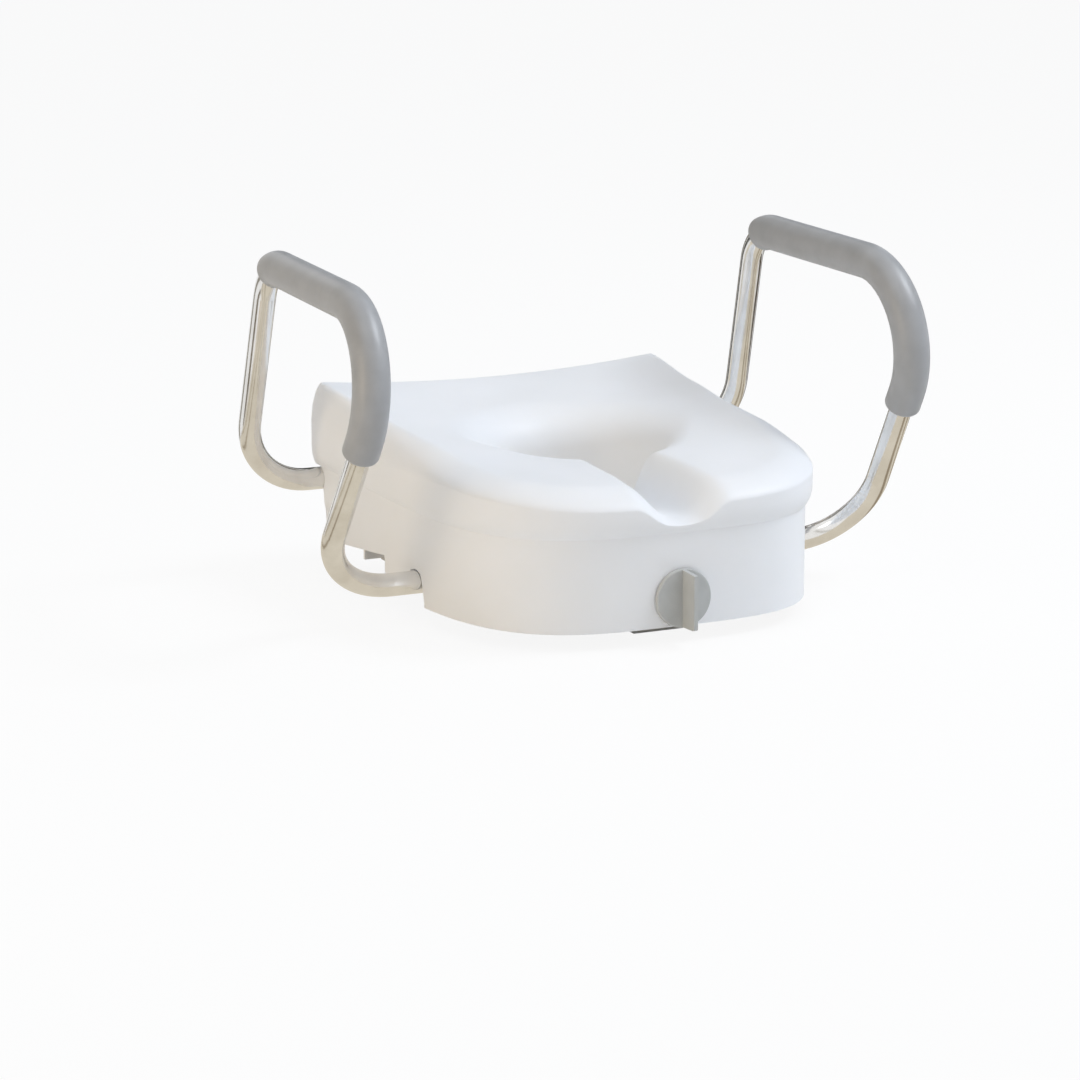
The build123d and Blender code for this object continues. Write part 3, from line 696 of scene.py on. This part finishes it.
def varied_finish(name, patches, tones, gloss, reliefs):
    """A material whose colour and gloss vary in soft patches, over fine relief.

    The patches and each relief are a noise, with a scale per metre and a detail. A tone is a
    place on the ramp and a colour, gloss is the least and the most roughness, and a relief
    goes on with its strength and its depth, the broadest relief first.
    """
    paint = bpy.data.materials.new(name)
    paint.use_nodes = True
    tree = paint.node_tree
    shader = tree.nodes["Principled BSDF"]
    where = tree.nodes.new("ShaderNodeTexCoord")

    def noise(scale, detail):
        texture = tree.nodes.new("ShaderNodeTexNoise")
        texture.inputs["Scale"].default_value = scale
        texture.inputs["Detail"].default_value = detail
        tree.links.new(where.outputs["Object"], texture.inputs["Vector"])
        return texture.outputs["Fac"]

    patch = noise(*patches)
    tone_ramp = tree.nodes.new("ShaderNodeValToRGB")
    for stop, (place, tone) in zip(tone_ramp.color_ramp.elements, tones):
        stop.position = place
        stop.color = (*tone, 1)
    gloss_range = tree.nodes.new("ShaderNodeMapRange")
    gloss_range.inputs["To Min"].default_value, gloss_range.inputs["To Max"].default_value = gloss
    tree.links.new(patch, tone_ramp.inputs["Fac"])
    tree.links.new(tone_ramp.outputs["Color"], shader.inputs["Base Color"])
    tree.links.new(patch, gloss_range.inputs["Value"])
    tree.links.new(gloss_range.outputs["Result"], shader.inputs["Roughness"])
    below = None
    for scale, detail, strength, depth in reliefs:
        bump = tree.nodes.new("ShaderNodeBump")
        bump.inputs["Strength"].default_value = strength
        bump.inputs["Distance"].default_value = depth
        tree.links.new(noise(scale, detail), bump.inputs["Height"])
        if below is not None:
            tree.links.new(below.outputs["Normal"], bump.inputs["Normal"])
        below = bump
    tree.links.new(below.outputs["Normal"], shader.inputs["Normal"])
    return paint, shader


# Satin polyethylene that lets a little light in: a soft waviness from the mould, a fine grain,
# and a colour and a gloss that vary a little.
white_plastic, plastic = varied_finish(
    "white_polyethylene", patches=(16.0, 4.0),
    tones=((0.3, (0.875, 0.882, 0.892)), (0.7, (0.893, 0.897, 0.910))), gloss=(0.40, 0.54),
    reliefs=((22.0, 1.0, 0.35, 0.0012), (900.0, 3.0, 0.10, 0.0003)),
)
plastic.inputs["Subsurface Weight"].default_value = 0.12
plastic.inputs["Subsurface Radius"].default_value = (1.0, 0.9, 0.8)
plastic.inputs["Subsurface Scale"].default_value = 0.006
plastic.inputs["Specular IOR Level"].default_value = 0.38
seat.data.materials.clear()
seat.data.materials.append(white_plastic)
shade_smooth(seat)

# ---- Ribs and blocks under the seat ----
# The moulding is stiffened underneath by thin upright ribs that reach up to the cap, with solid
# blocks where the rim pads, the saddles and the lugs are screwed on, in the same white plastic.
rib_foot_z = 0.028
rib_half = 0.0015
rib_least = 0.01
rib_sink = 0.0025
rib_steps = 26
# Places on the right, mirrored to the left. The cross ribs run outwards, the others lengthways.
side_rib_x = (0.126, 0.160)
side_rib_y = (-0.102, 0.142)
rear_rib_x = (0.070, 0.100)
rear_rib_y = (0.150, 0.186)
cross_rib_y = (-0.080, 0.120)
cross_rib_x = (0.030, 0.182)
front_rib_x = 0.033
front_rib_y = (-0.194, -0.054)
# The blocks between the side ribs, each with its middle and its half depth, and the rear ones.
block_top_z = 0.040
side_blocks = ((-0.080, 0.022), (0.120, 0.022), (-0.0389, 0.006), (-0.0041, 0.006))
rear_block_y = (0.150, 0.188)
# The bar along the rear channel, and the boss behind the dial that the spindle turns in.
channel_bar = ((-0.182, 0.198, 0.0747), (0.182, 0.2045, 0.1069))
boss_radius = 0.011
boss_length = 0.010
boss_y = -0.1915
ribs_bm = bmesh.new()


def stand_rib(start, end):
    """Stand a rib between two plan points, with its top along the underside of the cap."""
    start, end = Vector(start), Vector(end)
    across = Vector((-(end - start).y, (end - start).x)).normalized() * rib_half
    foot = [Vector((*(start + sign * across), rib_foot_z)) for sign in (1, -1)]
    corners = [ribs_bm.verts.new(place) for place in foot]
    corners += [
        ribs_bm.verts.new((place.x, place.y, rib_foot_z + rib_least)) for place in reversed(foot)
    ]
    section = ribs_bm.faces.new(corners)
    high = corners[2:]
    for step in range(rib_steps + 1):
        place = start.lerp(end, step / rib_steps)
        roof = top_height(place.x, place.y) - rib_sink
        if step:
            pushed = bmesh.ops.extrude_face_region(ribs_bm, geom=[section])["geom"]
            section = next(part for part in pushed if isinstance(part, bmesh.types.BMFace))
            moved = [part for part in pushed if isinstance(part, bmesh.types.BMVert)]
            bmesh.ops.translate(
                ribs_bm, vec=(*((end - start) / rib_steps), 0), verts=moved
            )
            high = sorted(moved, key=lambda vert: vert.co.z)[2:]
        for vert in high:
            vert.co.z = max(roof, rib_foot_z + rib_least)


for side in (-1, 1):
    for x in side_rib_x:
        stand_rib((side * x, side_rib_y[0]), (side * x, side_rib_y[1]))
    for x in rear_rib_x:
        stand_rib((side * x, rear_rib_y[0]), (side * x, rear_rib_y[1]))
    for y in cross_rib_y:
        stand_rib((side * cross_rib_x[0], y), (side * cross_rib_x[1], y))
    stand_rib((side * front_rib_x, front_rib_y[0]), (side * front_rib_x, front_rib_y[1]))
    near, far = sorted((side * side_rib_x[0], side * side_rib_x[1]))
    for block_y, block_half in side_blocks:
        add_block(
            ribs_bm, (near, block_y - block_half, rib_foot_z),
            (far, block_y + block_half, block_top_z),
        )
    near, far = sorted((side * rear_rib_x[0], side * rear_rib_x[1]))
    add_block(
        ribs_bm, (near, rear_block_y[0], rib_foot_z), (far, rear_block_y[1], block_top_z)
    )
add_block(ribs_bm, *channel_bar)
add_bar(ribs_bm, boss_radius, boss_length, (0, boss_y, spindle_z), (0, 1, 0))
bmesh.ops.recalc_face_normals(ribs_bm, faces=ribs_bm.faces)
ribs = add_object("seat_ribs", ribs_bm)
ribs.data.materials.append(white_plastic)
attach(ribs, "seat")

# ---- Armrest tubes ----
# Each armrest is one bent aluminium tube, polished and anodised. The marks that drawing and
# bending leave on it show as faint streaks and patches in the gloss.
tube_metal, metal = varied_finish(
    "polished_aluminium", patches=(34.0, 5.0),
    tones=((0.32, (0.74, 0.725, 0.70)), (0.68, (0.84, 0.835, 0.82))), gloss=(0.11, 0.22),
    reliefs=((260.0, 2.0, 0.06, 0.0002),),
)
metal.inputs["Metallic"].default_value = 1.0


def finish_nodes(names, paint):
    """Give CAD nodes their finish."""
    for name in names:
        solid = cad[name]
        solid.data.materials.clear()
        solid.data.materials.append(paint)


finish_nodes(("left_arm_tube", "right_arm_tube"), tube_metal)

# ---- Foam grips ----
# A sleeve of closed-cell foam is pushed over each tube, round the front bend and along the
# top. Its skin is smooth and matte, and both of its ends are rounded over.
arm_route = [
    Vector(place) for place in (
        (0.118, front_foot_y, front_foot_z), (0.290, front_foot_y, front_foot_z),
        (0.277, -0.194, 0.315), (0.264, 0.1535, 0.320),
        (0.2705, rear_foot_y, rear_foot_z), (0.102, rear_foot_y, rear_foot_z),
    )
]
bend_radii = (0.072, 0.078, 0.045, 0.067)
grip_radius = 0.0175
grip_bore = tube_radius + 0.00015
grip_end_round = 0.0040
grip_end_steps = 7
grip_sides = 56
foam_step = 0.006
# Where each sleeve starts, as a share of the way up the straight front leg, and how far round
# the rear bend both sleeves reach, as a share of the bend.
grip_starts = (("left", -1, 0.865), ("right", 1, 0.83))
grip_rear_share = 0.37


def bend(corner):
    """A bend's start, end, centre, axis and angle."""
    before, here, after = arm_route[corner - 1:corner + 2]
    back = (before - here).normalized()
    on = (after - here).normalized()
    half_angle = back.angle(on) / 2
    radius = bend_radii[corner - 1]
    reach = radius / (sin(half_angle) / cos(half_angle))
    centre = here + (back + on).normalized() * radius / sin(half_angle)
    axis = (-back).cross(on).normalized()
    return here + back * reach, here + on * reach, centre, axis, pi - 2 * half_angle


def push_sleeve(shape, edges, vector):
    """Carry the sleeve's open end straight on, and return its new end."""
    steps = max(2, round(vector.length / foam_step))
    for _ in range(steps):
        grown = bmesh.ops.extrude_edge_only(shape, edges=edges)["geom"]
        fresh, edges = fresh_parts(grown)
        bmesh.ops.translate(shape, vec=vector / steps, verts=list(fresh))
    return edges


def bend_sleeve(shape, edges, centre, axis, angle):
    """Carry the sleeve's open end round a bend, and return its new end."""
    steps = max(2, round(angle * bend_radii[1] / foam_step))
    verts = list({vert for edge in edges for vert in edge.verts})
    last = bmesh.ops.spin(
        shape, geom=verts + edges, cent=centre, axis=axis, dvec=(0, 0, 0), angle=angle,
        steps=steps, use_merge=False, use_duplicate=False,
    )["geom_last"]
    return [part for part in last if isinstance(part, bmesh.types.BMEdge)]


foam, skin = varied_finish(
    "grey_foam", patches=(40.0, 5.0),
    tones=((0.3, (0.322, 0.327, 0.336)), (0.7, (0.372, 0.378, 0.388))), gloss=(0.34, 0.48),
    reliefs=((55.0, 2.0, 0.25, 0.0008), (1100.0, 3.0, 0.22, 0.0004)),
)
skin.inputs["Specular IOR Level"].default_value = 0.75
skin.inputs["Sheen Weight"].default_value = 0.10
skin.inputs["Sheen Roughness"].default_value = 0.5

low_end = bend(1)[1]
front_start, front_end, front_centre, front_axis, front_angle = bend(2)
rear_start, _, rear_centre, rear_axis, rear_angle = bend(3)
for name, side, front_share in grip_starts:
    grip_bm = bmesh.new()
    start = low_end.lerp(front_start, front_share)
    leg = front_start - start
    face_on = Matrix.Translation(start) @ leg.to_track_quat("Z", "Y").to_matrix().to_4x4()
    for radius in (grip_radius, grip_bore):
        bmesh.ops.create_circle(
            grip_bm, cap_ends=False, segments=grip_sides, radius=radius, matrix=face_on
        )
    first = list(grip_bm.edges)
    last = push_sleeve(grip_bm, first, leg)
    last = bend_sleeve(grip_bm, last, front_centre, front_axis, front_angle)
    last = push_sleeve(grip_bm, last, rear_start - front_end)
    last = bend_sleeve(grip_bm, last, rear_centre, rear_axis, rear_angle * grip_rear_share)
    for edges in (first, last):
        bmesh.ops.bridge_loops(grip_bm, edges=edges)
        middle = sum((edge.verts[0].co for edge in edges), Vector()) / len(edges)
        middle_radius = (grip_radius + grip_bore) / 2
        outer = [
            edge for edge in edges if (edge.verts[0].co - middle).length > middle_radius
        ]
        bmesh.ops.bevel(
            grip_bm, geom=outer, offset=grip_end_round, affect="EDGES",
            segments=grip_end_steps, profile=0.5, material=-1,
        )
    if side < 0:
        bmesh.ops.scale(grip_bm, vec=(-1, 1, 1), verts=grip_bm.verts)
    bmesh.ops.recalc_face_normals(grip_bm, faces=grip_bm.faces)
    grip = add_object(f"{name}_foam_grip", grip_bm)
    grip.data.materials.append(foam)
    shade_smooth(grip, limit=50)
    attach(grip, f"{name}_arm")
    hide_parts(f"{name}_grip")

# ---- Tube plugs ----
# A dark moulded plug closes each end of both tubes, so that no cut edge is left open. It is
# pushed into the bore up to its flat round head.
fine_grain = (1200.0, 0.0002)


def moulded(name, dark, light, gloss, grain=fine_grain):
    """A moulded plastic or rubber, a little uneven, with a grain of a scale and a depth."""
    scale, depth = grain
    return varied_finish(
        name, patches=(70.0, 4.0), tones=((0.3, dark), (0.7, light)), gloss=gloss,
        reliefs=((scale, 3.0, 0.2, depth),),
    )[0]


plug_plastic = moulded("dark_plug", (0.018, 0.018, 0.020), (0.028, 0.028, 0.030), (0.42, 0.55))
finish_nodes(
    ("left_front_plug", "left_rear_plug", "right_front_plug", "right_rear_plug"), plug_plastic,
)

# ---- Saddles, lugs and the clamp's bracket ----
# Light grey nylon mouldings, screwed under the seat: two saddles hold the front feet of the
# tubes, two the rear feet, two lugs drop inside the bowl, and the bracket grips its rim.
grey_nylon = moulded("light_nylon", (0.56, 0.57, 0.58), (0.62, 0.63, 0.64), (0.36, 0.50))
finish_nodes(
    ("left_front_saddle", "right_front_saddle", "left_rear_saddle", "right_rear_saddle",
     "left_rear_lug", "right_rear_lug", "clamp_bracket"),
    grey_nylon,
)

# ---- Rim pads and the clamp's pad ----
# Pads of soft pale rubber, four pressed on where the seat stands on the bowl's rim, and one
# on the bracket where the clamp grips it.
rubber_grain = (900.0, 0.0004)
pad_rubber = moulded(
    "pale_rubber", (0.56, 0.55, 0.52), (0.62, 0.61, 0.58), (0.60, 0.80), rubber_grain
)
finish_nodes(
    ("left_front_pad", "right_front_pad", "left_rear_pad", "right_rear_pad", "clamp_rubber"),
    pad_rubber,
)

# ---- Screws, spindle and nut ----
# Zinc-plated steel with a faint spangle: the screws of the saddles and the lugs, the lock
# screws, the spindle with its washer and its collar, and the clamp's nut.
zinc = bpy.data.materials.new("zinc_steel")
zinc.use_nodes = True
tree = zinc.node_tree
metal = tree.nodes["Principled BSDF"]
metal.inputs["Metallic"].default_value = 1.0
where = tree.nodes.new("ShaderNodeTexCoord")
spangle = tree.nodes.new("ShaderNodeTexVoronoi")
spangle.inputs["Scale"].default_value = 420.0
tone_ramp = tree.nodes.new("ShaderNodeValToRGB")
tone_ramp.color_ramp.elements[0].color = (0.50, 0.51, 0.52, 1)
tone_ramp.color_ramp.elements[1].color = (0.66, 0.67, 0.68, 1)
wear = tree.nodes.new("ShaderNodeMapRange")
wear.inputs["To Min"].default_value = 0.24
wear.inputs["To Max"].default_value = 0.40
tree.links.new(where.outputs["Object"], spangle.inputs["Vector"])
tree.links.new(spangle.outputs["Distance"], tone_ramp.inputs["Fac"])
tree.links.new(tone_ramp.outputs["Color"], metal.inputs["Base Color"])
tree.links.new(spangle.outputs["Distance"], wear.inputs["Value"])
tree.links.new(wear.outputs["Result"], metal.inputs["Roughness"])
finish_nodes(
    ("left_front_saddle_screws", "right_front_saddle_screws", "left_rear_saddle_screws",
     "right_rear_saddle_screws", "left_rear_lug_screws", "right_rear_lug_screws",
     "left_lock_screw", "right_lock_screw", "spindle", "spindle_washer", "spindle_collar",
     "clamp_nut"),
    zinc,
)

# ---- Dial and lock knobs ----
# Mid-grey mouldings with a fine spark-eroded grain: a round dial with one upright fin on the
# front, and two lobed knobs under the rear corners.
dial_plastic = moulded(
    "mid_grey_dial", (0.475, 0.485, 0.478), (0.515, 0.525, 0.517), (0.36, 0.48)
)
finish_nodes(("dial", "left_lock_knob", "right_lock_knob"), dial_plastic)
